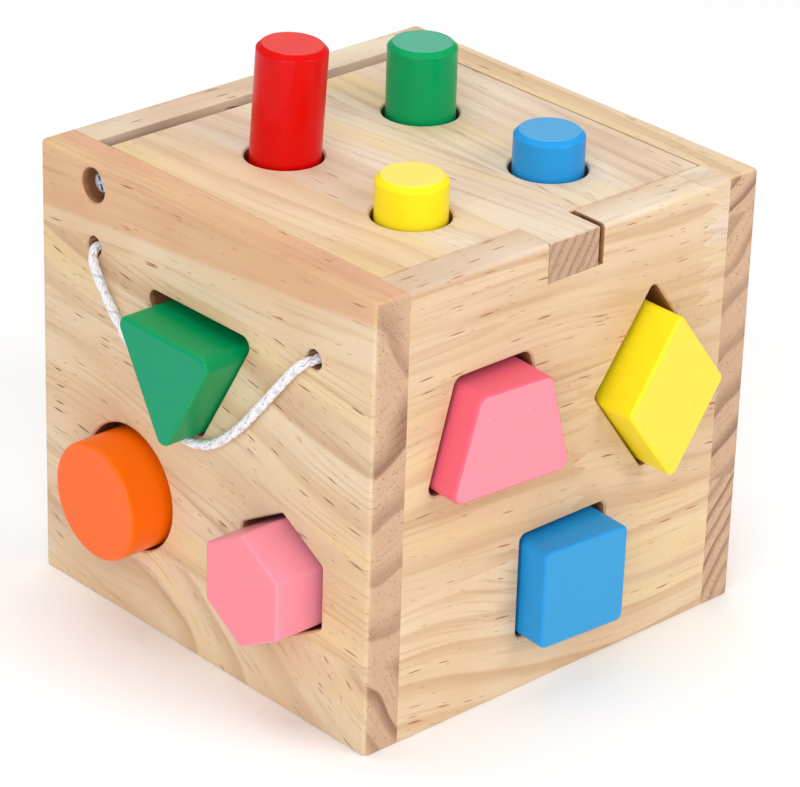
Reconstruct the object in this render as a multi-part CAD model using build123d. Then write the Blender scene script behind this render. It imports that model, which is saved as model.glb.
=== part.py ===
from build123d import *
import os
from math import cos, radians, sin, sqrt, tan

# Wooden shape sorter box. Millimetres, +Z up, front face towards -Y, origin on the table under the
# middle of the box. The lid swings up about two screws near the back edge.

# ---- box ----
width = 148.0            # X, over the side panels
depth = 146.0            # Y, over the front and back panels
height = 140.0           # Z, table to rim
board = 12.0             # thickness of every board
corner_round = 2.0       # rounding of the four upright corners
rim_round = 1.4          # rounding of the outer edges of the rim
foot_round = 0.7         # rounding of the bottom edges
mouth_ease = 0.5         # bevel at the mouth of every hole

# glue lines between the staves of each panel, heights above the table
left_glue_lines = [26.0, height - 25.0]
right_glue_lines = [42.0, height - 12.0]
front_glue_lines = [44.0, height - 44.0]
back_glue_lines = [50.0, height - 41.0]
bottom_glue_line = 8.0   # Y of the one glue line of the bottom board

# ---- lid ----
lid_side_gap = 0.4       # between the lid and each side panel
lid_front_gap = 0.5      # between the lid and the front panel
lid_back_gap = 5.0       # finger gap behind the lid
lid_ease = 0.4           # bevel round the top of the lid
lid_glue_lines = [-13.0, 13.0]
tab_left = -10.1         # X of the tab's left side
tab_width = 19.1
slot_left_gap = 0.4      # between the tab and the left side of its slot
slot_right_gap = 2.0
rest_gap = 0.1           # under the closed tab

# ---- hinge screws ----
pivot_from_back = 24.6   # from the back of the box
pivot_from_top = 6.6     # from the top of the box
shank_radius = 2.0
shank_length = 20.0
pivot_clearance = 0.08   # radial, shank in the side panel
head_radius = 3.5
head_height = 2.6
head_sink = 3.0          # head below the face of the panel
head_round = 1.1
head_clearance = 0.1     # under the head
counterbore_radius = 5.3
cross_length = 4.6
cross_width = 1.0
cross_depth = 1.5
cross_turn = 24.0        # degrees from upright
shank_point = 1.2        # bevel at the tip of the shank

# ---- pegs ----
peg_radius = 10.5
peg_hole_clearance = 1.2
peg_hole_depth = 8.0
peg_hole_x = 26.6        # left and right of the middle
peg_row_front = -34.3    # Y of the front pair
peg_row_back = 19.8      # Y of the back pair
peg_chamfer = 1.6
peg_edge_round = 0.6
# name: (side, row, height above the lid, lean to the right, lean to the front)
pegs = {
    "red_peg": (-1, peg_row_back, 33.6, 2.0, 1.8),
    "green_peg": (1, peg_row_back, 22.1, 0.0, 0.0),
    "blue_peg": (1, peg_row_front, 11.8, 0.0, 0.0),
    "yellow_peg": (-1, peg_row_front, 12.1, 0.0, 0.0),
}

# ---- blocks ----
block_length = 25.0      # along the way it is pushed in
block_round = 1.2        # rounding of the two faces' edges
hole_gap = 1.5           # all round, between a block and its hole
own_gap = {"rhombus_block": 2.0, "square_block": 1.25}   # holes that were cut looser or closer

triangle_side = 43.0
triangle_corner = 3.0    # rounding of a block's upright corners, and of its hole's
round_radius = 18.3
hexagon_radius = 18.2    # centre to corner
hexagon_corner = 1.6
trapezoid_top = 25.8
trapezoid_bottom = 43.4
trapezoid_height = 31.5
trapezoid_corner = 3.2
rhombus_half_width = 19.6
rhombus_half_height = 26.9
rhombus_corner = 2.0
square_side = 31.4
square_corner = 2.4
pentagon_radius = 19.0
pentagon_corner = 2.0
rectangle_width = 22.0
rectangle_height = 34.0
rectangle_corner = 2.4
half_round_radius = 19.0
half_round_corner = 2.0

# ---- carrying cord ----
cord_radius = 1.5
cord_hole_radius = 3.0
cord_hole_height = height - 25.4
cord_hole_reach = 48.0   # Y of each hole from the middle
knot_radius = 4.4
knot_offset = 3.4        # knot centre from the flat where the cord enters it
arc_share = 0.45         # tangent length of each bend, as a share of its shorter run

half_w = width / 2
half_d = depth / 2
inner_x = half_w - board
inner_y = half_d - board
lid_under = height - board
spill = 1.0              # how far a cutter runs past the face it cuts

# each wall seen from outside: x to the right, y up from the table, z outwards
walls = {
    "left": Plane(origin=(-half_w, 0, 0), x_dir=(0, -1, 0), z_dir=(-1, 0, 0)),
    "front": Plane(origin=(0, -half_d, 0), x_dir=(1, 0, 0), z_dir=(0, -1, 0)),
    "right": Plane(origin=(half_w, 0, 0), x_dir=(0, 1, 0), z_dir=(1, 0, 0)),
}


def slab(x0, x1, y0, y1, z0, z1):
    """A box between two corners."""
    return Pos((x0 + x1) / 2, (y0 + y1) / 2, (z0 + z1) / 2) * Box(x1 - x0, y1 - y0, z1 - z0)


def grown_polygon(corners, radius, grow):
    """A convex outline moved outwards by grow, its corners rounded; they run anticlockwise."""
    moved = []
    count = len(corners)
    for i in range(count):
        before, here, after = (Vector(*corners[(i + k) % count]) for k in (-1, 0, 1))
        first = (here - before).normalized()
        second = (after - here).normalized()
        normal_one = Vector(first.Y, -first.X)
        normal_two = Vector(second.Y, -second.X)
        share = grow / (1 + normal_one.dot(normal_two))
        moved.append(here + (normal_one + normal_two) * share)
    face = make_face(Polyline(*moved, close=True))
    return fillet(face.vertices(), radius)


def ring_corners(radius, count, first_angle):
    """Corners of a regular outline, the first one at first_angle degrees."""
    angles = [radians(first_angle + 360 * i / count) for i in range(count)]
    return [(radius * cos(a), radius * sin(a)) for a in angles]


def triangle(grow):
    return grown_polygon(ring_corners(triangle_side / sqrt(3), 3, -90), triangle_corner, grow)


def disc(grow):
    return Circle(round_radius + grow)


def hexagon(grow):
    return grown_polygon(ring_corners(hexagon_radius, 6, -90), hexagon_corner, grow)


def trapezoid(grow):
    top, bottom, rise = trapezoid_top / 2, trapezoid_bottom / 2, trapezoid_height / 2
    corners = [(-bottom, -rise), (bottom, -rise), (top, rise), (-top, rise)]
    return grown_polygon(corners, trapezoid_corner, grow)


def rhombus(grow):
    across, up = rhombus_half_width, rhombus_half_height
    corners = [(0, -up), (across, 0), (0, up), (-across, 0)]
    return grown_polygon(corners, rhombus_corner, grow)


def oblong(wide, high, radius, grow):
    x, y = wide / 2, high / 2
    return grown_polygon([(-x, -y), (x, -y), (x, y), (-x, y)], radius, grow)


def square(grow):
    return oblong(square_side, square_side, square_corner, grow)


def pentagon(grow):
    return grown_polygon(ring_corners(pentagon_radius, 5, 90), pentagon_corner, grow)


def rectangle(grow):
    return oblong(rectangle_width, rectangle_height, rectangle_corner, grow)


def half_round(grow):
    """A half disc, flat side down, centred half way up."""
    radius = half_round_radius + grow
    flat = -half_round_radius / 2 - grow
    lift = flat + grow
    reach = sqrt(radius**2 - grow**2)
    arc = ThreePointArc((reach, flat), (0, lift + radius), (-reach, flat))
    face = make_face([Line((-reach, flat), (reach, flat)), arc])
    return fillet(face.vertices(), half_round_corner)


# The upper holes are set out down from the rim, the lower ones up from the table.
upper_triangle = height - 43.4
upper_trapezoid = height - 48.0
upper_rhombus = height - 54.0
upper_pentagon = height - 45.0
# name: (wall, outline, hole centre x, y, then how the block sits in it: shift x, y,
#        how far it stands out, right side out, outer end down, roll; angles in degrees)
blocks = {
    "triangle_block": ("left", triangle, -1.3, upper_triangle, 0.0, -2.1, 13.0, 0.0, 0.4, -0.6),
    "round_block": ("left", disc, -32.3, 42.7, -0.3, -0.9, 12.8, 1.0, 0.8, 0.0),
    "hexagon_block": ("left", hexagon, 36.0, 42.6, -0.9, -0.8, 14.0, 1.2, 0.5, -0.3),
    "trapezoid_block": ("front", trapezoid, -29.9, upper_trapezoid, -0.2, -1.0, 10.3, 3.5, 0.5, -0.5),
    "rhombus_block": ("front", rhombus, 32.8, upper_rhombus, -0.2, -2.1, 11.7, -0.9, 1.0, 1.6),
    "square_block": ("front", square, 0.6, 33.9, -0.1, -0.9, 10.9, 3.5, 0.3, -0.3),
    "pentagon_block": ("right", pentagon, 0.0, upper_pentagon, 0.3, -0.9, 11.5, 1.5, 0.8, 0.6),
    "rectangle_block": ("right", rectangle, -33.0, 42.0, -0.4, -1.0, 12.5, -1.2, 0.6, 0.0),
    "half_round_block": ("right", half_round, 33.0, 42.0, 0.2, -1.0, 11.0, 1.0, 0.7, -0.5),
}

# route of the cord, from the knot behind the rear hole, round the triangle block, to the front hole
cord_points = [
    (-61.0, 48.0, 115.1),
    (-68.6, 48.1, 114.5),
    (-76.4, 46.9, 114.4),
    (-76.5, 42.6, 106.6),
    (-76.3, 35.4, 97.4),
    (-76.1, 24.4, 86.9),
    (-76.1, 9.8, 70.0),
    (-76.1, -5.4, 71.0),
    (-76.2, -18.9, 81.9),
    (-76.3, -30.2, 95.2),
    (-76.5, -39.2, 105.9),
    (-77.2, -46.5, 113.9),
    (-67.5, -48.0, 114.2),
    (-61.0, -48.0, 115.0),
]


def block_place(name):
    """Where a block sits: z along the way it slides, zero on the wall's outer face."""
    wall, _, x, y, dx, dy, _, turn, droop, roll = blocks[name]
    middle = walls[wall].location * Pos(x + dx, y + dy, 0)
    return middle * Rot(0, -turn, 0) * Rot(droop, 0, 0) * Rot(0, 0, roll)


def block(name):
    outline, stands_out = blocks[name][1], blocks[name][6]
    body = Pos(0, 0, stands_out - block_length) * extrude(outline(0), block_length)
    ends = body.faces().sort_by(Axis.Z)
    body = fillet(ends[0].edges() + ends[-1].edges(), block_round)
    return block_place(name) * body


def hole_cutter(outline, length):
    """A straight hole down from z = 0, with its mouth bevelled."""
    shaft = Pos(0, 0, -length) * extrude(outline(0), length + spill)
    wide = Pos(0, 0, spill) * outline(mouth_ease + spill)
    narrow = Pos(0, 0, -mouth_ease) * outline(0)
    return shaft + loft([narrow.face(), wide.face()], ruled=True)


def block_hole(name):
    wall, outline, x, y = blocks[name][:4]
    gap = own_gap.get(name, hole_gap)
    cutter = hole_cutter(lambda grow: outline(gap + grow), board + spill)
    return walls[wall].location * Pos(x, y, 0) * cutter


def round_hole(radius, length):
    return hole_cutter(lambda grow: Circle(radius + grow), length)


def screw_place(side):
    """Frame of a hinge screw: z points out of the side panel, zero on its face."""
    wall = walls["left" if side < 0 else "right"]
    across = side * (half_d - pivot_from_back)
    return wall.location * Pos(across, height - pivot_from_top, 0)


def hinge_screw(side):
    seat = -head_sink - head_height
    head = Pos(0, 0, seat + head_height / 2) * Cylinder(head_radius, head_height)
    head = fillet(head.edges().sort_by(Axis.Z)[-1], head_round)
    for turn in (0, 90):
        slot = Box(cross_length, cross_width, 2 * cross_depth)
        head -= Pos(0, 0, -head_sink) * Rot(0, 0, turn + cross_turn) * slot
    shank = Pos(0, 0, seat - shank_length / 2) * Cylinder(shank_radius, shank_length)
    shank = chamfer(shank.edges().sort_by(Axis.Z)[0], shank_point)
    return screw_place(side) * (head + shank)


def peg_place(name):
    """Frame of a peg: z along the peg, zero on the floor of its hole."""
    side, row, _, right, front = pegs[name]
    lift = peg_radius * sin(radians(abs(right) + abs(front)))
    floor = height - peg_hole_depth + lift
    return Pos(side * peg_hole_x, row, floor) * Rot(front, 0, 0) * Rot(0, right, 0)


def peg(name):
    tall = peg_hole_depth + pegs[name][2]
    body = Pos(0, 0, tall / 2) * Cylinder(peg_radius, tall)
    rims = body.edges().filter_by(GeomType.CIRCLE)
    body = chamfer(rims, peg_chamfer)
    body = fillet(body.edges().filter_by(GeomType.CIRCLE), peg_edge_round)
    return peg_place(name) * body


def staves(panel, low, high, lines, names, axis):
    """The panel's boards between its glue lines, along Z, or along X or Y for a flat one."""
    pieces = {}
    stops = [low] + lines + [high]
    beyond = 2 * max(width, depth, height)
    for name, a, b in zip(names, stops, stops[1:]):
        spans = {k: (-beyond, beyond) for k in "XYZ"}
        spans[axis] = (a, b)
        pieces[name] = panel & slab(*spans["X"], *spans["Y"], *spans["Z"])
    return pieces


def side_panels(shell):
    """The two side panels run the full depth and show their end grain on the front."""
    pieces = {}
    for side, wall, lines in ((-1, "left", left_glue_lines), (1, "right", right_glue_lines)):
        x0, x1 = sorted((side * half_w, side * inner_x))
        panel = shell & slab(x0, x1, -half_d, half_d, 0, height)
        for name, spec in blocks.items():
            if spec[0] == wall:
                panel -= block_hole(name)
        counterbore = round_hole(counterbore_radius, head_sink + head_height + head_clearance)
        bore = Pos(0, 0, -board / 2) * Cylinder(shank_radius + pivot_clearance, board + 2 * spill)
        panel -= screw_place(side) * (counterbore + bore)
        if wall == "left":
            for reach in (-cord_hole_reach, cord_hole_reach):
                mouth = walls[wall].location * Pos(reach, cord_hole_height, 0)
                panel -= mouth * round_hole(cord_hole_radius, board + spill)
        names = [f"{wall}_panel_{level}_stave" for level in ("lower", "middle", "upper")]
        pieces.update(staves(panel, 0, height, lines, names, "Z"))
    return pieces


def front_panel(shell):
    panel = shell & slab(-inner_x, inner_x, -half_d, -inner_y, 0, height)
    for name, spec in blocks.items():
        if spec[0] == "front":
            panel -= block_hole(name)
    left = tab_left - slot_left_gap
    right = tab_left + tab_width + slot_right_gap
    panel -= slab(left, right, -half_d - spill, -inner_y + spill, lid_under - rest_gap, height + spill)
    names = [f"front_panel_{level}_stave" for level in ("lower", "middle", "upper")]
    return staves(panel, 0, height, front_glue_lines, names, "Z")


def back_panel(shell):
    panel = shell & slab(-inner_x, inner_x, inner_y, half_d, 0, height)
    names = [f"back_panel_{level}_stave" for level in ("lower", "middle", "upper")]
    return staves(panel, 0, height, back_glue_lines, names, "Z")


def bottom_board():
    panel = slab(-inner_x, inner_x, -inner_y, inner_y, 0, board)
    names = ["bottom_front_stave", "bottom_rear_stave"]
    return staves(panel, -inner_y, inner_y, [bottom_glue_line], names, "Y")


def lid():
    edge_x = inner_x - lid_side_gap
    front, back = -inner_y + lid_front_gap, inner_y - lid_back_gap
    panel = slab(-edge_x, edge_x, front, back, lid_under, height)
    panel += slab(tab_left, tab_left + tab_width, -half_d, front + spill, lid_under, height)
    top = panel.faces().sort_by(Axis.Z)[-1]
    panel = chamfer(top.outer_wire().edges(), lid_ease)
    for side in (-1, 1):
        for row in (peg_row_front, peg_row_back):
            cutter = round_hole(peg_radius + peg_hole_clearance, peg_hole_depth)
            panel -= Pos(side * peg_hole_x, row, height) * cutter
        reach = head_sink + head_height + shank_length
        pilot = Pos(0, 0, -reach / 2) * Cylinder(shank_radius, reach)
        panel -= screw_place(side) * pilot
    names = ["lid_left_stave", "lid_centre_stave", "lid_right_stave"]
    return staves(panel, -half_w, half_w, lid_glue_lines, names, "X")


def bend_radii(points):
    """Radius of the arc at each inner point, as large as its two runs allow."""
    radii = []
    for before, here, after in zip(points, points[1:], points[2:]):
        come, go = Vector(*here) - Vector(*before), Vector(*after) - Vector(*here)
        turn = radians(come.get_angle(go))
        radii.append(arc_share * min(come.length, go.length) / tan(turn / 2))
    return radii


def carry_cord():
    """The cord as straight runs joined by tangent arcs."""
    radii = bend_radii(cord_points)
    path = FilletPolyline(*cord_points, radius=radii)
    start = Plane(origin=path @ 0, z_dir=path % 0)
    tube = sweep(start * Circle(cord_radius), path=path.wire())
    expected = Circle(cord_radius).area * path.length
    print("cord bend radii", [round(r, 1) for r in radii])
    print(f"cord length {path.length:.1f}, volume {tube.volume:.1f}, section x length {expected:.1f}")
    return tube


def cord_knot(end, inward):
    """The knot behind the panel: a ball with a flat where the cord runs into it."""
    ball = Pos(0, 0, knot_offset) * Sphere(knot_radius)
    ball -= Pos(0, 0, -knot_radius) * Box(4 * knot_radius, 4 * knot_radius, 2 * knot_radius)
    return Plane(origin=end, z_dir=inward).location * ball


def cord_parts():
    ends = (cord_points[0], cord_points[1]), (cord_points[-1], cord_points[-2])
    parts = {"carry_cord": carry_cord()}
    for name, (end, after) in zip(("cord_knot_rear", "cord_knot_front"), ends):
        parts[name] = cord_knot(end, Vector(*end) - Vector(*after))
    return parts


def main():
    shell = Pos(0, 0, height / 2) * Box(width, depth, height)
    shell = fillet(shell.edges().filter_by(Axis.Z), corner_round)
    shell = fillet(shell.faces().sort_by(Axis.Z)[-1].edges(), rim_round)
    shell = fillet(shell.faces().sort_by(Axis.Z)[0].edges(), foot_round)
    parts = {}
    parts.update(side_panels(shell))
    parts.update(front_panel(shell))
    parts.update(back_panel(shell))
    parts.update(bottom_board())
    parts.update(lid())
    for side, name in ((-1, "hinge_screw_left"), (1, "hinge_screw_right")):
        parts[name] = hinge_screw(side)
    for name in pegs:
        parts[name] = peg(name)
    for name in blocks:
        parts[name] = block(name)
    parts.update(cord_parts())
    os.makedirs("parts", exist_ok=True)
    for name, shape in parts.items():
        export_step(shape, f"parts/{name}.step")
    print(len(parts), "sub-parts written")


main()
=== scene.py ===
from math import cos, pi, radians, sin

import bpy
from mathutils import Matrix, Vector


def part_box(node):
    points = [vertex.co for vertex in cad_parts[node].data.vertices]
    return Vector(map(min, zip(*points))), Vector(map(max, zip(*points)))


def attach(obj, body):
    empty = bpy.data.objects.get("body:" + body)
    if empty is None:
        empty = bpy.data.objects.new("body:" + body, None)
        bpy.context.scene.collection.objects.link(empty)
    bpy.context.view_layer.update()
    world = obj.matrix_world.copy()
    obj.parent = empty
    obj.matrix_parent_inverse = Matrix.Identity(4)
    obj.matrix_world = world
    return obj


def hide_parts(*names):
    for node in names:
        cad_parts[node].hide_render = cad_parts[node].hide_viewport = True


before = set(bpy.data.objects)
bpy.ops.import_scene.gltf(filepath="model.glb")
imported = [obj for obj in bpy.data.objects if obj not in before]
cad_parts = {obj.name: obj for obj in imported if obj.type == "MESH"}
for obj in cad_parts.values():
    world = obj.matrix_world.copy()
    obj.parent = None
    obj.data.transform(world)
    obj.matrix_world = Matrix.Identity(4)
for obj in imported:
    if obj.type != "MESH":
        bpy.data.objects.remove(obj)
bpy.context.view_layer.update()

# wooden shape sorter, in metres: pine box, painted blocks and pegs, braided carrying cord
scene = bpy.context.scene
scene.view_settings.view_transform = "Standard"

# the camera; its angles are in degrees, its lens and sensor in mm
cameraSet = {
    "place": (-0.6938, -0.7448, 0.5697),
    "azimuth": -43.11,        # 0 looks along +Y
    "elevation": 26.48,       # looking down
    "roll": 1.81,
    "lens": 172.2,
    "sensor": 36.0,
    "near": 0.01,
}


def addCamera(look):
    azimuth, elevation, roll = (radians(look[key]) for key in ("azimuth", "elevation", "roll"))
    forward = Vector((-sin(azimuth) * cos(elevation), cos(azimuth) * cos(elevation), -sin(elevation)))
    level = Vector((cos(azimuth), sin(azimuth), 0))
    upright = level.cross(forward)
    right = level * cos(roll) + upright * sin(roll)
    up = upright * cos(roll) - level * sin(roll)
    data = bpy.data.cameras.new("studio_camera")
    data.lens = look["lens"]
    data.sensor_width = look["sensor"]
    data.sensor_fit = "HORIZONTAL"
    data.clip_start = look["near"]
    camera = bpy.data.objects.new("studio_camera", data)
    turned = Matrix((right, up, -forward)).transposed().to_4x4()
    camera.matrix_world = Matrix.Translation(look["place"]) @ turned
    scene.collection.objects.link(camera)
    scene.camera = camera


addCamera(cameraSet)
print("camera set")


class Wire:                               # one output socket, so that sums on it add Math nodes
    def __init__(self, recipe, socket):
        self.recipe = recipe
        self.socket = socket

    def __add__(self, other):
        return self.recipe.maths("ADD", self, other)

    def __sub__(self, other):
        return self.recipe.maths("SUBTRACT", self, other)

    def __rsub__(self, other):
        return self.recipe.maths("SUBTRACT", other, self)

    def __mul__(self, other):
        return self.recipe.maths("MULTIPLY", self, other)

    def __truediv__(self, other):
        return self.recipe.maths("DIVIDE", self, other)

    def __abs__(self):
        return self.recipe.maths("ABSOLUTE", self)

    __radd__ = __add__
    __rmul__ = __mul__


class Recipe:                             # one material's nodes
    def __init__(self, name):
        self.material = bpy.data.materials.new(name)
        self.material.use_nodes = True
        self.tree = self.material.node_tree
        self.tree.nodes.clear()

    def node(self, kind, settings=None, sockets=None, output=None):
        made = self.tree.nodes.new(kind)
        for key, value in (settings or {}).items():
            setattr(made, key, value)
        for key, value in (sockets or {}).items():
            if isinstance(key, int):
                socket = made.inputs[key]
            else:
                socket = next(s for s in made.inputs if s.name == key and s.enabled)
            if isinstance(value, Wire):
                self.tree.links.new(value.socket, socket)
            else:
                socket.default_value = value
        shown = [s for s in made.outputs if s.enabled and output in (None, s.name)]
        return Wire(self, shown[0]) if shown else made

    def maths(self, operation, *values):
        return self.node("ShaderNodeMath", {"operation": operation}, dict(enumerate(values)))

    def point(self, x, y, z):
        return self.node("ShaderNodeCombineXYZ", None, {"X": x, "Y": y, "Z": z})

    def parts(self, vector):
        return [self.node("ShaderNodeSeparateXYZ", None, {"Vector": vector}, axis) for axis in "XYZ"]

    def millimetres(self):                # where a point of the piece lies, by axis
        place = self.node("ShaderNodeTexCoord", None, None, "Object")
        return dict(zip("XYZ", (part * 1000 for part in self.parts(place))))

    def facing(self):                     # the way its surface faces, by axis
        return dict(zip("XYZ", self.parts(self.node("ShaderNodeTexCoord", None, None, "Normal"))))

    def noise(self, vector, detail=2.0, rough=0.5):
        sockets = {"Vector": vector, "Scale": 1.0, "Detail": detail, "Roughness": rough}
        return self.node("ShaderNodeTexNoise", None, sockets, "Fac")

    def dots(self, vector):               # way to the nearest of many strewn dots, and its own 0 to 1
        sockets = {"Vector": vector, "Scale": 1.0}
        gap = self.node("ShaderNodeTexVoronoi", None, sockets, "Distance")
        draw = self.parts(self.node("ShaderNodeTexVoronoi", None, sockets, "Color"))[0]
        return gap, draw

    def smooth(self, value, low, high):   # 0 below low, 1 above high
        sockets = {"Value": value, "From Min": low, "From Max": high}
        return self.node("ShaderNodeMapRange", {"interpolation_type": "SMOOTHSTEP"}, sockets)

    def blend(self, amount, one, other):  # a colour between two others
        settings = {"data_type": "RGBA"}
        return self.node("ShaderNodeMix", settings, {"Factor": amount, "A": one, "B": other})

    def shade(self, colour, value):       # colour times a number that changes over the surface
        settings = {"operation": "SCALE"}
        return self.node("ShaderNodeVectorMath", settings, {"Vector": colour, "Scale": value})

    def finish(self, sockets, height=None, depth=0.0):
        if height is not None:
            bump = {"Strength": 1.0, "Distance": depth, "Height": height}
            sockets = {**sockets, "Normal": self.node("ShaderNodeBump", None, bump)}
        surface = self.node("ShaderNodeBsdfPrincipled", None, sockets)
        self.node("ShaderNodeOutputMaterial", None, {"Surface": surface})
        return self.material


def tint(red, green, blue):               # a display colour, 0 to 255, as linear light
    def linear(value):
        share = value / 255
        return share / 12.92 if share <= 0.04045 else ((share + 0.055) / 1.055) ** 2.4
    return (linear(red), linear(green), linear(blue), 1.0)


def dress(name, finish):                  # a new finish on a piece of the frame
    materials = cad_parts[name].data.materials
    materials.clear()
    materials.append(finish)


# the carrying cord, from the knot behind the rear hole, round the green block, to the front hole
cordRoute = [
    (-0.0610, 0.0480, 0.1151),
    (-0.0686, 0.0481, 0.1145),
    (-0.0764, 0.0469, 0.1144),
    (-0.0765, 0.0426, 0.1066),
    (-0.0763, 0.0354, 0.0974),
    (-0.0761, 0.0244, 0.0869),
    (-0.0761, 0.0098, 0.0700),
    (-0.0761, -0.0054, 0.0710),
    (-0.0762, -0.0189, 0.0819),
    (-0.0763, -0.0302, 0.0952),
    (-0.0765, -0.0392, 0.1059),
    (-0.0772, -0.0465, 0.1139),
    (-0.0675, -0.0480, 0.1142),
    (-0.0610, -0.0480, 0.1150),
]
cordSet = {
    "diameter": 0.0030,
    "length": 0.160,
    "strands": 6,             # each way round
    "stitch": 0.00095,        # along the cord, from one crossing to the next
    "ribbon": (0.00058, 0.00024),   # half width and half thickness of one strand
    "rise": 0.00016,          # how far a strand climbs to pass over another
    "corners": 6,
    "samples": 3,             # rings of one strand from one crossing to the next
    "coreCorners": 14,
    "coreSink": 0.3,          # how far the strands dip into the core, of their half thickness
    "corePaintedShade": -1.5,         # painted shade of the core; the strands' own lies between -1 and 1
    "white": tint(240, 238, 243),
    # shadow is painted shade, laid on the braid where it lies deeper in
    "shadow": tint(156, 152, 172),
    "fuzz": 4200,             # tufts of fibre in a metre
    "fuzzDepth": 0.00012,
}
knotSet = {
    "radius": 0.00150,
    "lobe": 0.00098,          # size of the trefoil that the overhand knot follows
    "swell": 0.00125,         # half its thickness
    "away": 0.0042,           # from the panel's side of the knot to its middle
    "gap": 0.42,              # how much of the trefoil is left open, radians
    "steps": 26,
    "lead": 0.0015,           # straight stretch before the knot
    "tail": 0.0030,
}


def routeLine(points):                    # the smooth line that a NURBS spline makes of the route
    curve = bpy.data.curves.new("route", "CURVE")
    curve.dimensions = "3D"
    curve.resolution_u = 40               # steps from one point to the next
    spline = curve.splines.new("NURBS")
    spline.points.add(len(points) - 1)
    for point, place in zip(spline.points, points):
        point.co = (*place, 1.0)
    spline.order_u = 3
    spline.use_endpoint_u = True
    holder = bpy.data.objects.new("route", curve)
    scene.collection.objects.link(holder)
    mesh = bpy.data.meshes.new_from_object(holder)
    line = [v.co.copy() for v in mesh.vertices]
    bpy.data.objects.remove(holder)
    bpy.data.meshes.remove(mesh)
    return line


def evenSteps(line, step):                # points an even step apart, with the way along at each
    lengths = [0.0]
    for a, b in zip(line, line[1:]):
        lengths.append(lengths[-1] + (b - a).length)
    count = max(4, round(lengths[-1] / step))
    places = []
    at = 0
    for i in range(count + 1):
        here = lengths[-1] * i / count
        while at < len(line) - 2 and lengths[at + 1] < here:
            at += 1
        share = (here - lengths[at]) / max(lengths[at + 1] - lengths[at], 1e-9)
        places.append(line[at].lerp(line[at + 1], share))
    ways = []
    for i in range(count + 1):
        ways.append((places[min(i + 1, count)] - places[max(i - 1, 0)]).normalized())
    return places, ways, lengths[-1]


def sideWays(ways):                       # a sideways direction at each point that doesn't twist
    side = ways[0].orthogonal().normalized()
    sides = []
    for way in ways:
        side = (side - way * side.dot(way)).normalized()
        sides.append(side)
    return sides


def braid(name, line, radius, look):      # strands plaited two over, two under, round a core
    step = look["stitch"] / look["samples"]
    places, ways, length = evenSteps(line, step)
    sides = sideWays(ways)
    crossSides = [way.cross(side) for way, side in zip(ways, sides)]
    wide, thin = look["ribbon"]
    middle = radius - thin - look["rise"]
    verts, faces, paintedShadeLifts = [], [], []

    def ring(centre, across, out, halfWide, halfThin, corners, depth):
        for k in range(corners):
            turn = 2 * pi * k / corners
            verts.append(centre + across * halfWide * cos(turn) + out * halfThin * sin(turn))
            # painted shade value: the outer side of each ring lighter, the inner side darker
            paintedShadeLifts.append(depth + 0.5 * sin(turn))

    def skin(first, rings, corners):
        for i in range(rings - 1):
            for k in range(corners):
                a, b = first + i * corners + k, first + i * corners + (k + 1) % corners
                faces.append((a, b, b + corners, a + corners))
        faces.append(tuple(range(first + corners - 1, first - 1, -1)))
        last = first + (rings - 1) * corners
        faces.append(tuple(range(last, last + corners)))

    core = middle - thin * look["coreSink"]
    for place, side, cross in zip(places, sides, crossSides):
        ring(place, side, cross, core, core, look["coreCorners"], look["corePaintedShade"])
    skin(0, len(places), look["coreCorners"])
    lean = 2 * pi / (2 * look["strands"] * look["samples"])
    for sense in (1, -1):
        for strand in range(look["strands"]):
            first = len(verts)
            for i, (place, way) in enumerate(zip(places, ways)):
                turn = 2 * pi * strand / look["strands"] + sense * lean * i
                out = sides[i] * cos(turn) + crossSides[i] * sin(turn)
                around = crossSides[i] * cos(turn) - sides[i] * sin(turn)
                beat = pi * i / (2 * look["samples"]) + sense * pi / 4 + pi * strand / 2
                climb = cos(beat) * sense
                run = way * look["samples"] * step + around * sense * lean * look["samples"] * middle
                across = run.normalized().cross(out)
                centre = place + out * (middle + look["rise"] * climb)
                # a strand passing over another gets less painted shade, one passing under more
                ring(centre, across, out, wide, thin, look["corners"], climb * 0.5)
            skin(first, len(places), look["corners"])
    mesh = bpy.data.meshes.new(name)
    mesh.from_pydata(verts, [], faces)
    for polygon in mesh.polygons:
        polygon.use_smooth = True
    # the lift of each point, stored for the material's painted shade
    mesh.attributes.new("paintedShadeLift", "FLOAT", "POINT").data.foreach_set("value", paintedShadeLifts)
    piece = bpy.data.objects.new(name, mesh)
    scene.collection.objects.link(piece)
    return piece, length


def overhandKnot(end, way, look):         # the line of an overhand knot on the end of the cord
    middle = end + way * look["away"]
    side = Vector((0, 1, 0))
    up = way.cross(side)
    line = [end - way * look["lead"], end]
    for i in range(look["steps"] + 1):
        t = look["gap"] / 2 + (2 * pi - look["gap"]) * i / look["steps"] + pi
        x = sin(t) + 2 * sin(2 * t)
        y = cos(t) - 2 * cos(2 * t)
        line.append(middle + (side * x + way * y) * look["lobe"] + up * look["swell"] * -sin(3 * t))
    line.append(line[-1] + (line[-1] - line[-2]).normalized() * look["tail"])
    return line


def cordFinish():
    r = Recipe("braided_cord_white")
    paintedShadeLift = r.node("ShaderNodeAttribute", {"attribute_name": "paintedShadeLift"}, None, "Fac")
    place = r.node("ShaderNodeTexCoord", None, None, "Object")
    fuzz = r.noise(r.point(*(part * cordSet["fuzz"] for part in r.parts(place))), 3.0, 0.7)
    paintedLitShare = r.smooth(paintedShadeLift, -1.0, 0.75)    # painted shade: the strand that is on top is the whitest, those under it and the core darker
    colour = r.blend(paintedLitShare, cordSet["shadow"], cordSet["white"])
    colour = r.shade(colour, 0.93 + fuzz * 0.12)
    sockets = {
        "Base Color": colour,
        "Roughness": 0.62 + fuzz * 0.25,
        "Sheen Weight": 0.2,
        "Sheen Roughness": 0.4,
        "Specular IOR Level": 0.3,
    }
    return r.finish(sockets, fuzz, cordSet["fuzzDepth"])


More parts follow.
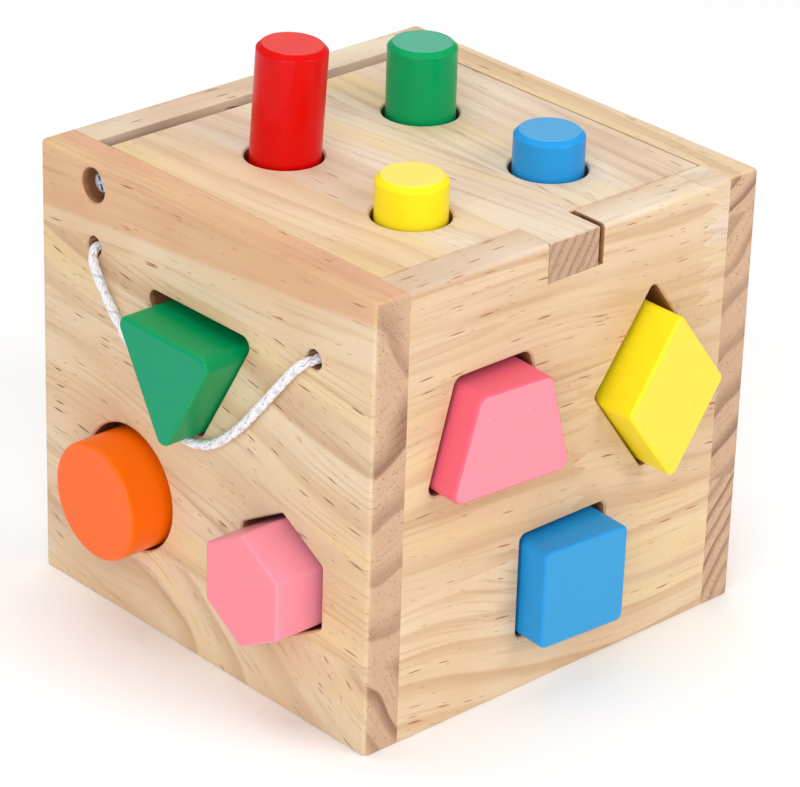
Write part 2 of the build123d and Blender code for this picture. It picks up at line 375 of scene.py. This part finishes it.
def addCord():
    finish = cordFinish()
    line = routeLine(cordRoute)
    cord, length = braid("braided_cord", line, cordSet["diameter"] / 2, cordSet)
    knots = []
    for name, node, at, beside in (
        ("rear_knot", "cord_knot_rear", line[0], line[1]),
        ("front_knot", "cord_knot_front", line[-1], line[-2]),
    ):
        way = Vector((1, 0, 0)) if at.x > beside.x else (at - beside).normalized()
        knot, _ = braid(name, routeLine(overhandKnot(at, way, knotSet)), knotSet["radius"], cordSet)
        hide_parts(node)
        knots.append(knot)
    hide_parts("carry_cord")
    for piece in (cord, *knots):
        piece.data.materials.append(finish)
        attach(piece, "box")
    print(f"cord and knots made, {length * 1000:.1f} mm of cord between the knots")


addCord()

# pine: pale and warm lie in clouds, late is the darker wood of each year's end
pineTones = {
    "cream": {"pale": tint(223, 198, 165), "warm": tint(217, 184, 145), "late": tint(188, 144, 100)},
    "butter": {"pale": tint(217, 190, 156), "warm": tint(210, 175, 136), "late": tint(182, 137, 94)},
    "honey": {"pale": tint(219, 196, 165), "warm": tint(212, 180, 143), "late": tint(178, 135, 96)},
    "tan": {"pale": tint(214, 172, 134), "warm": tint(205, 159, 121), "late": tint(172, 125, 91)},
    "rose": {"pale": tint(226, 208, 185), "warm": tint(215, 187, 159), "late": tint(184, 146, 120)},
}
straw = tint(224, 196, 138)               # yellow clouds in the pale wood
blush = tint(214, 158, 134)               # redder wood on the inner side of a board
endTones = {"pale": tint(196, 160, 130), "late": tint(132, 92, 66), "pore": tint(112, 74, 50)}
# the holes' walls: browned by the cutter, with deep as painted shade in the hole
boreTones = {"near": tint(184, 130, 82), "deep": tint(120, 70, 38)}
dashTones = {"dark": tint(108, 58, 34), "rust": tint(160, 90, 52), "faint": tint(176, 122, 86)}
# sizes of the figure in mm: along the fibres, then across them
pineGrain = {
    "drift": (110, 60),       # slow wander of the rings
    "ripple": (34, 12),
    "spacing": (160, 30),     # how the width of the rings changes
    "lineSpacing": (90, 16),
    "lineGaps": (46, 9),      # where the fine lines fade
    "crowding": (40, 18),     # where the dashes are closer
    "fibre": (16, 0.42),
    "streak": (75, 3.2),
    "straw": (130, 17),
    "cloud": (60, 26),
    "longDash": (11.0, 0.85),
    "shortDash": (4.8, 0.5),
    "chatter": (0.6, 11),     # faint marks of the planer
    "pore": (40, 1.25),
    "grit": 0.45,
    "ray": (9, 0.35),         # on the end grain: outwards, then round the heart
    "scorch": 3,
    "rim": (0.3, 0.6),        # a hole's wall begins this far inside the stave's own edges
    "jump": (213, 17),        # how far off in the tree the wood past a finger joint grew
    "seedStep": 37.0,         # no two staves are cut from the same wood
}
# how strongly each part of the figure shows
pineMix = {
    "straw": 0.55,
    "streak": 0.5,
    "line": 0.7,
    "blush": 0.45,
    "endLate": 0.9,
    "endLine": 0.2,
    "pore": 0.7,
    "bore": 0.9,
    "fibre": 0.08,
    "chatter": 0.06,
}
# height of the relief in metres, and what raises or sinks it
pineRelief = {"depth": 0.00006, "fibre": 0.35, "late": 0.25, "dash": 1.2, "pore": 0.8, "grit": 0.4}
# grain and thick are the axes along the fibres and through the board. pith is where the tree's
# heart lies beside the board, mm across it and through it. ring is the width of a year in mm, swing
# how far the rings wander, lean how they slope. dashes is the share of the wood without resin
# canals, mark the canals' tone, contrast the depth of the late wood, line the fine lines' pitch.
# Some staves have more: band is another growth below a slanting line, joint a finger joint where
# two lengths meet, blush the depth from which the inner wood is redder, endShade a darker end.
pineSet = {
    "left_panel_upper_stave": {
        "grain": "Y", "thick": "X", "tone": "tan", "pith": (230, 60), "ring": 15.0, "swing": 9,
        "lean": 0.05, "dashes": 0.92, "contrast": 0.35, "line": 2.2, "mark": "rust",
        "band": {"at": 126.5, "slope": -0.09, "tone": "honey"}, "blush": -68.0,
    },
    "left_panel_middle_stave": {
        "grain": "Y", "thick": "X", "tone": "honey", "pith": (420, -160), "ring": 20.0, "swing": 26,
        "lean": -0.14, "dashes": 0.90, "contrast": 0.6, "line": 2.6, "mark": "dark",
    },
    "left_panel_lower_stave": {
        "grain": "Y", "thick": "X", "tone": "honey", "pith": (-120, -240), "ring": 11.0, "swing": 44,
        "lean": -0.5, "dashes": 0.95, "contrast": 0.5, "line": 2.6, "mark": "dark",
    },
    "right_panel_lower_stave": {
        "grain": "Y", "thick": "X", "tone": "honey", "pith": (-70, 190), "ring": 4.6, "swing": 20,
        "lean": 0.1, "dashes": 0.93, "contrast": 0.55, "line": 2.6, "mark": "dark",
    },
    "right_panel_middle_stave": {
        "grain": "Y", "thick": "X", "tone": "cream", "pith": (190, -20), "ring": 11.0, "swing": 26,
        "lean": -0.1, "dashes": 0.92, "contrast": 0.55, "line": 2.6, "mark": "dark",
    },
    "right_panel_upper_stave": {
        "grain": "Y", "thick": "X", "tone": "cream", "pith": (230, 0), "ring": 8.0, "swing": 8,
        "lean": 0.04, "dashes": 0.94, "contrast": 0.45, "line": 2.6, "mark": "dark",
    },
    "front_panel_lower_stave": {
        "grain": "X", "thick": "Y", "tone": "cream", "pith": (-200, -160), "ring": 9.0, "swing": 26,
        "lean": 0.08, "dashes": 0.93, "contrast": 0.55, "line": 2.6, "mark": "rust",
    },
    "front_panel_middle_stave": {
        "grain": "X", "thick": "Y", "tone": "butter", "pith": (370, -150), "ring": 13.0, "swing": 26,
        "lean": 0.06, "dashes": 0.92, "contrast": 0.5, "line": 2.6, "mark": "rust",
        "joint": {"at": 6, "pitch": 4.6, "deep": 6, "mark": 0.2},
    },
    "front_panel_upper_stave": {
        "grain": "X", "thick": "Y", "tone": "rose", "pith": (390, -90), "ring": 12.0, "swing": 16,
        "lean": 0.04, "dashes": 0.90, "contrast": 0.45, "line": 2.6, "mark": "rust",
        "joint": {"at": 54, "pitch": 4.6, "deep": 6, "mark": 0.6},
        "band": {"at": 138.8, "slope": 0.0, "tone": "butter"},
    },
    "back_panel_lower_stave": {
        "grain": "X", "thick": "Y", "tone": "honey", "pith": (-140, 200), "ring": 9.0, "swing": 24,
        "lean": -0.06, "dashes": 0.93, "contrast": 0.55, "line": 2.6, "mark": "dark",
    },
    "back_panel_middle_stave": {
        "grain": "X", "thick": "Y", "tone": "cream", "pith": (230, 120), "ring": 12.0, "swing": 30,
        "lean": 0.1, "dashes": 0.93, "contrast": 0.5, "line": 2.6, "mark": "dark",
    },
    "back_panel_upper_stave": {
        "grain": "X", "thick": "Y", "tone": "rose", "pith": (280, 90), "ring": 7.0, "swing": 12,
        "lean": 0.03, "dashes": 0.93, "contrast": 0.4, "line": 2.6, "mark": "dark",
    },
    "bottom_front_stave": {
        "grain": "X", "thick": "Z", "tone": "honey", "pith": (-190, -90), "ring": 8.0, "swing": 20,
        "lean": 0.06, "dashes": 0.94, "contrast": 0.5, "line": 2.6, "mark": "dark",
    },
    "bottom_rear_stave": {
        "grain": "X", "thick": "Z", "tone": "cream", "pith": (180, -90), "ring": 9.0, "swing": 22,
        "lean": -0.04, "dashes": 0.94, "contrast": 0.5, "line": 2.6, "mark": "dark",
    },
    "lid_left_stave": {
        "grain": "Y", "thick": "Z", "tone": "rose", "pith": (-190, 60), "ring": 9.0, "swing": 14,
        "lean": 0.08, "dashes": 0.95, "contrast": 0.35, "line": 2.6, "mark": "faint",
        "band": {"at": -36.0, "slope": 0.0, "tone": "cream"},
    },
    "lid_centre_stave": {
        "grain": "Y", "thick": "Z", "tone": "rose", "pith": (150, 60), "ring": 3.3, "swing": 7,
        "lean": 0.1, "dashes": 0.95, "contrast": 0.3, "endShade": 0.86, "line": 2.6, "mark": "faint",
    },
    "lid_right_stave": {
        "grain": "Y", "thick": "Z", "tone": "rose", "pith": (160, 30), "ring": 5.0, "swing": 12,
        "lean": -0.06, "dashes": 0.95, "contrast": 0.4, "line": 2.6, "mark": "faint",
    },
}


def fingerJoint(r, along, across, joint):
    # the zigzag where two lengths of one stave are joined: 1 past it, and a dark line on it
    saw = abs(r.maths("FRACT", across / joint["pitch"]) - 0.5) * 2 * joint["deep"]
    past = along - saw - joint["at"] + joint["deep"] / 2
    worn = r.smooth(r.noise(r.point(along / 2, across / 5, 0.0)), 0.4, 0.65)
    return r.smooth(past, -0.05, 0.05), (1 - r.smooth(abs(past), 0.1, 0.6)) * worn


def holeWalls(r, name, thick, axes, facing):
    # 1 on the walls of the holes and of the slot, not on the stave's own edges, and how deep in
    low, high = ([value * 1000 for value in corner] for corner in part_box(name))
    near, far = pineGrain["rim"]
    inside = 1 - r.smooth(abs(facing[thick]), 0.4, 0.7)
    for i, axis in enumerate("XYZ"):
        if axis != thick:
            inside = inside * r.smooth(axes[axis], low[i] + near, low[i] + far)
            inside = inside * (1 - r.smooth(axes[axis], high[i] - far, high[i] - near))
    i = "XYZ".index(thick)
    depth = 0.5 - abs(axes[thick] - (low[i] + high[i]) / 2) / (high[i] - low[i])
    return inside, depth


def pineFinish(name, look, seed):
    r = Recipe(name + "_pine")
    axes = r.millimetres()
    facing = r.facing()
    grain, thick = look["grain"], look["thick"]
    wide = next(axis for axis in "XYZ" if axis not in (grain, thick))
    along, across, through = axes[grain], axes[wide], axes[thick]
    tone = pineTones[look["tone"]]
    joined = None
    if "joint" in look:
        past, joined = fingerJoint(r, along, across, look["joint"])
        jumpAlong, jumpAcross = pineGrain["jump"]
        along = along + past * jumpAlong
        across = across + past * jumpAcross
    offset = seed * pineGrain["seedStep"]

    def inBoard(key, detail=2.0):         # noise that follows the board
        lengthwise, crosswise = pineGrain[key]
        spot = r.point(along / lengthwise + offset, across / crosswise, through / crosswise)
        return r.noise(spot, detail)

    # u and v lead from the heart of the tree, bent as the rings are
    drift = inBoard("drift", 1.0) - 0.5
    ripple = inBoard("ripple") - 0.5
    u = across - look["pith"][0] + along * look["lean"] + drift * look["swing"] + ripple * 1.6
    v = through - look["pith"][1] + drift * look["swing"] * 0.6

    def inTree(key):                      # a place measured along the fibres and across them
        lengthwise, crosswise = pineGrain[key]
        return r.point(along / lengthwise + offset, u / crosswise, v / crosswise)

    # rings: slow to dark, quick to pale, and some years darker than others
    reach = r.maths("SQRT", u * u + v * v)
    pulse = reach / look["ring"] + inBoard("spacing", 1.0) * 1.5
    ring = r.maths("FRACT", pulse)
    wholeLate = r.smooth(ring, 0.4, 0.88) * (1 - r.smooth(ring, 0.9, 0.99))
    year = r.noise(r.point(r.maths("FLOOR", pulse) * 3.7, offset, 0.0), 0.0)
    late = wholeLate * r.smooth(year, 0.25, 0.7)
    line = r.maths("FRACT", reach / look["line"] + inBoard("lineSpacing", 1.0) * 1.2)
    line = r.smooth(line, 0.55, 0.9) * (1 - r.smooth(line, 0.92, 1.0))
    line = line * r.smooth(inBoard("lineGaps", 1.0), 0.4, 0.7)

    fibre = r.noise(inTree("fibre"), 2.0, 0.6)
    streak = r.noise(inTree("streak"), 2.0, 0.55)
    sunned = r.noise(inTree("straw"), 2.0)
    cloudLong, cloudWide = pineGrain["cloud"]
    cloud = r.noise(r.point(axes[grain] / cloudLong + offset, across / cloudWide, through / cloudWide), 2.0)

    end = r.smooth(abs(facing[grain]), 0.55, 0.9)
    crowd = (0.5 - inBoard("crowding", 1.0)) * 0.3 - end * 0.05

    def canals(key, few, soft):           # resin canals: short dark dashes along the grain
        gap, draw = r.dots(inTree(key))
        return (1 - r.smooth(gap, soft, 0.36)) * r.smooth(draw - crowd - few, 0.0, 0.04)

    shortOnes = canals("shortDash", look["dashes"] - 0.02, 0.08) * 0.75
    dash = r.maths("MAXIMUM", canals("longDash", look["dashes"], 0.16), shortOnes)

    pale, warm, lateTone = tone["pale"], tone["warm"], tone["late"]
    if "band" in look:
        band = look["band"]
        under = band["at"] + along * band["slope"] + ripple * 3 - across
        below = r.smooth(under, -1.2, 1.2)
        pale, warm, lateTone = (r.blend(below, tone[key], pineTones[band["tone"]][key]) for key in tone)
    colour = r.blend(r.smooth(cloud, 0.35, 0.7), pale, warm)
    colour = r.blend(r.smooth(sunned, 0.5, 0.72) * pineMix["straw"], colour, straw)
    colour = r.blend(late * look["contrast"], colour, lateTone)
    colour = r.blend(r.smooth(streak, 0.52, 0.8) * pineMix["streak"], colour, lateTone)
    colour = r.blend(line * look["contrast"] * pineMix["line"], colour, lateTone)
    if "blush" in look:
        inner = r.smooth(through + ripple * 3, look["blush"] - 1.5, look["blush"] + 1.5)
        colour = r.blend(inner * r.smooth(streak, 0.25, 0.6) * pineMix["blush"], colour, blush)

    # the sawn ends: rings, rays out from the heart, open pores and rough grit
    around = r.maths("ARCTAN2", v, u) * (abs(look["pith"][0]) + abs(look["pith"][1]))
    rayOut, rayRound = pineGrain["ray"]
    rays = r.noise(r.point(reach / rayOut, around / rayRound, offset), 2.0, 0.7)
    bands = r.maths("MAXIMUM", late, wholeLate * 0.5)
    bands = bands * pineMix["endLate"] + line * pineMix["endLine"]
    endColour = r.blend(bands, endTones["pale"], endTones["late"])
    grit = r.noise(r.point(*(part / pineGrain["grit"] for part in (across, through, along))), 2.0, 0.7)
    endColour = r.shade(endColour, (0.66 + rays * 0.42 + grit * 0.28) * look.get("endShade", 1.0))
    poreLong, poreWide = pineGrain["pore"]
    gap, draw = r.dots(r.point(across / poreWide + offset, through / poreWide, along / poreLong))
    pore = (1 - r.smooth(gap, 0.1, 0.27)) * r.smooth(draw, 0.4, 0.46)
    endColour = r.blend(pore * pineMix["pore"], endColour, endTones["pore"])
    colour = r.blend(end, colour, endColour)
    colour = r.blend(dash * (0.95 - end * 0.6), colour, dashTones[look["mark"]])
    if joined is not None:
        colour = r.blend(joined * look["joint"]["mark"], colour, tone["late"])

    # walls of the holes and of the slot, browned by the cutter, and darker deeper in as painted shade
    inside, depth = holeWalls(r, name, thick, axes, facing)
    scorch = r.noise(r.point(*(axes[axis] / pineGrain["scorch"] for axis in "XYZ")), 2.0)
    bore = r.blend(r.smooth(depth * 4 + scorch - 0.5, 0.0, 1.0), boreTones["near"], boreTones["deep"])
    colour = r.blend(inside * pineMix["bore"], colour, bore)
    markLong, markWide = pineGrain["chatter"]
    chatter = r.noise(r.point(along / markLong, across / markWide + offset, through / markWide), 2.0)
    colour = r.shade(colour, 0.93 + fibre * pineMix["fibre"] + chatter * pineMix["chatter"])

    height = fibre * pineRelief["fibre"] + late * pineRelief["late"] - dash * pineRelief["dash"]
    height = height - pore * end * pineRelief["pore"] + grit * end * pineRelief["grit"]
    rough = 0.5 + fibre * 0.16 - late * 0.08 + inside * 0.2
    sockets = {"Base Color": colour, "Roughness": rough, "Specular IOR Level": 0.4}
    return r.finish(sockets, height, pineRelief["depth"])


def finishPine():
    for seed, (name, look) in enumerate(pineSet.items(), 1):
        dress(name, pineFinish(name, look, seed))
    print(len(pineSet), "pine staves finished")


finishPine()

# paint: side is the coat along the grain, end the thinner one on a peg's top, face a block's front
# side, end and face tones differ partly by the paint and partly by painted light and shade
paintAndFaceLightSet = {
    "red": {"side": tint(212, 0, 0), "end": tint(225, 71, 67), "face": tint(222, 40, 34)},
    "green": {"side": tint(0, 152, 88), "end": tint(87, 172, 141), "face": tint(0, 146, 102)},
    "blue": {"side": tint(37, 146, 216), "end": tint(84, 162, 212), "face": tint(54, 150, 205)},
    "yellow": {"side": tint(248, 226, 30), "end": tint(242, 222, 107), "face": tint(246, 215, 70)},
    "pink": {"side": tint(246, 146, 164), "face": tint(238, 136, 148)},
    # the trapezoid's pink, darker on its sides than the hexagon's
    "trapezoidPink": {"side": tint(235, 99, 119), "face": tint(243, 138, 152)},
    "orange": {"side": tint(255, 108, 0), "face": tint(243, 106, 43)},
}
bareWoodAndHighlight = tint(236, 206, 170)            # shows where an edge is rubbed, and is laid on as a painted highlight of the rounded edges
pitTone = tint(60, 40, 34)
# sizes of the brush marks and of the grain below them, in mm, and how strongly they show
paintGrain = {
    "along": 14.0,
    "across": 0.45,
    "sawn": (5, 9, 0.5),      # lines of the saw on the ends: their lean, and their width
    "film": 7,                # thick and thin paint
    "peel": 1.6,              # bumps in a mm
    "pits": 2.4,
    "pitFree": 0.95,          # share of the places without a pit
    "seedStep": 11.0,         # from one piece's grain to the next one's
    "sawnStep": 5.0,
    "rubbedAndHighlight": 0.14,
    "pitted": 0.6,
    "gloss": 0.1,
    "coat": 0.15,
    "coatRough": 0.09,
    "bump": 0.00004,          # in metres, as is edge
    "edge": 0.0009,
}
# name: (paint, axis of the wood's grain)
painted = {
    "red_peg": ("red", "Z"),
    "green_peg": ("green", "Z"),
    "blue_peg": ("blue", "Z"),
    "yellow_peg": ("yellow", "Z"),
    "triangle_block": ("green", "X"),
    "round_block": ("orange", "X"),
    "hexagon_block": ("pink", "X"),
    "trapezoid_block": ("trapezoidPink", "Y"),
    "rhombus_block": ("yellow", "Y"),
    "square_block": ("blue", "Y"),
    "pentagon_block": ("red", "X"),
    "rectangle_block": ("orange", "X"),
    "half_round_block": ("green", "X"),
}


def paintFinish(name, colours, grain, tip, seed):
    look = paintGrain
    r = Recipe(name + "_paint")
    axes = r.millimetres()
    facing = r.facing()
    stretched = {axis: axes[axis] / look["across"] for axis in "XYZ"}
    stretched[grain] = axes[grain] / look["along"] + seed * look["seedStep"]
    fibre = r.noise(r.point(*stretched.values()), 2.0, 0.6)
    end = r.smooth(abs(facing[grain]), 0.75, 0.95)
    # the sawn end shows as fine lines through the paint
    first, second = (axes[axis] for axis in "XYZ" if axis != grain)
    leanOne, leanOther, width = look["sawn"]
    across = first / leanOne + second / leanOther
    sawn = r.noise(r.point(across, second / width, seed * look["sawnStep"]), 2.0, 0.6)
    film = r.noise(r.point(*(axes[axis] / look["film"] for axis in "XYZ")), 3.0)
    peel = r.noise(r.point(*(axes[axis] * look["peel"] for axis in "XYZ")), 2.0)
    gap, draw = r.dots(r.point(*(axes[axis] / look["pits"] for axis in "XYZ")))
    pit = (1 - r.smooth(gap, 0.05, 0.11)) * r.smooth(draw, look["pitFree"], look["pitFree"] + 0.01)

    # an edge is where the softened direction differs from the surface's own
    soft = r.node("ShaderNodeBevel", {"samples": 4}, {"Radius": look["edge"]})
    sharp = r.node("ShaderNodeNewGeometry", None, None, "Normal")
    same = r.node("ShaderNodeVectorMath", {"operation": "DOT_PRODUCT"}, {0: soft, 1: sharp}, "Value")
    # the edges lightened towards bare wood: partly wear, partly a painted highlight
    rubAndHighlight = r.smooth(1 - same, 0.02, 0.3) * r.smooth(film, 0.35, 0.65)

    colour = r.blend(end, colours["side"], colours[tip])
    colour = r.blend(rubAndHighlight * look["rubbedAndHighlight"], colour, bareWoodAndHighlight)
    colour = r.shade(colour, 0.95 + film * 0.07 + (fibre - 0.5) * 0.05 + end * (sawn - 0.5) * 0.16)
    colour = r.blend(pit * look["pitted"], colour, pitTone)
    height = fibre * 0.4 + end * sawn * 1.2 + peel * 0.25 - pit * 2.0
    sockets = {
        "Base Color": colour,
        "Roughness": 0.3 + film * 0.1 + end * 0.12 + (fibre - 0.5) * 0.08,
        "Specular IOR Level": look["gloss"],
        "Coat Weight": look["coat"],
        "Coat Roughness": look["coatRough"],
    }
    return r.finish(sockets, height, look["bump"])


def finishPaint():
    for seed, (name, (colour, grain)) in enumerate(painted.items(), 1):
        tip = "end" if name.endswith("peg") else "face"
        dress(name, paintFinish(name, paintAndFaceLightSet[colour], grain, tip, seed))
    print(len(painted), "painted pieces finished")


finishPaint()

# hinge screws
screwSet = {
    "zinc": tint(206, 210, 216),
    "grime": tint(70, 66, 64),
    "scratch": (0.6, 3.0, 3.0),   # scratches in a mm, by axis
    "stain": 0.9,
    "bump": 0.00004,
}


def screwFinish():
    r = Recipe("bright_zinc")
    parts = list(r.millimetres().values())
    scratch = r.noise(r.point(*(part * share for part, share in zip(parts, screwSet["scratch"]))), 3.0, 0.6)
    stain = r.noise(r.point(*(part * screwSet["stain"] for part in parts)), 2.0)
    colour = r.blend(r.smooth(stain, 0.45, 0.8) * 0.5, screwSet["zinc"], screwSet["grime"])
    sockets = {"Base Color": colour, "Metallic": 1.0, "Roughness": 0.2 + scratch * 0.25}
    return r.finish(sockets, scratch, screwSet["bump"])


def finishScrews():
    finish = screwFinish()
    for name in ("hinge_screw_left", "hinge_screw_right"):
        dress(name, finish)
    print("hinge screws finished")


finishScrews()

# floor and studio light
studio = {
    "floor": tint(252, 252, 252),
    "floorSize": 6.0,
    "sky": 0.38,
    "aim": (0, 0, 0.07),
    "lamps": [
        {"name": "key", "place": (0.5, -1.3, 0.95), "size": 0.9, "power": 10.5},
        {"name": "fill", "place": (-1.2, -0.75, 0.7), "size": 1.2, "power": 14.0},
        {"name": "top", "place": (0.1, 0.4, 1.6), "size": 1.4, "power": 14.0},
    ],
}


def addStudio():
    r = Recipe("studio_floor")
    place = r.node("ShaderNodeTexCoord", None, None, "Object")
    cloud = r.noise(place, 2.0)
    floorMaterial = r.finish({"Base Color": studio["floor"], "Roughness": 0.75 + cloud * 0.1})
    side = studio["floorSize"] / 2
    mesh = bpy.data.meshes.new("floor")
    corners = [(-side, -side, 0), (side, -side, 0), (side, side, 0), (-side, side, 0)]
    mesh.from_pydata(corners, [], [(0, 1, 2, 3)])
    mesh.materials.append(floorMaterial)
    ground = bpy.data.objects.new("floor", mesh)
    scene.collection.objects.link(ground)
    world = bpy.data.worlds.new("studio")
    world.use_nodes = True
    background = world.node_tree.nodes["Background"]
    background.inputs["Color"].default_value = (1, 1, 1, 1)
    background.inputs["Strength"].default_value = studio["sky"]
    scene.world = world
    middle = Vector(studio["aim"])
    for lamp in studio["lamps"]:
        data = bpy.data.lights.new(lamp["name"], "AREA")
        data.size = lamp["size"]
        data.energy = lamp["power"]
        light = bpy.data.objects.new(lamp["name"], data)
        light.location = lamp["place"]
        light.rotation_euler = (middle - light.location).to_track_quat("-Z", "Y").to_euler()
        scene.collection.objects.link(light)
    print("studio set")


addStudio()
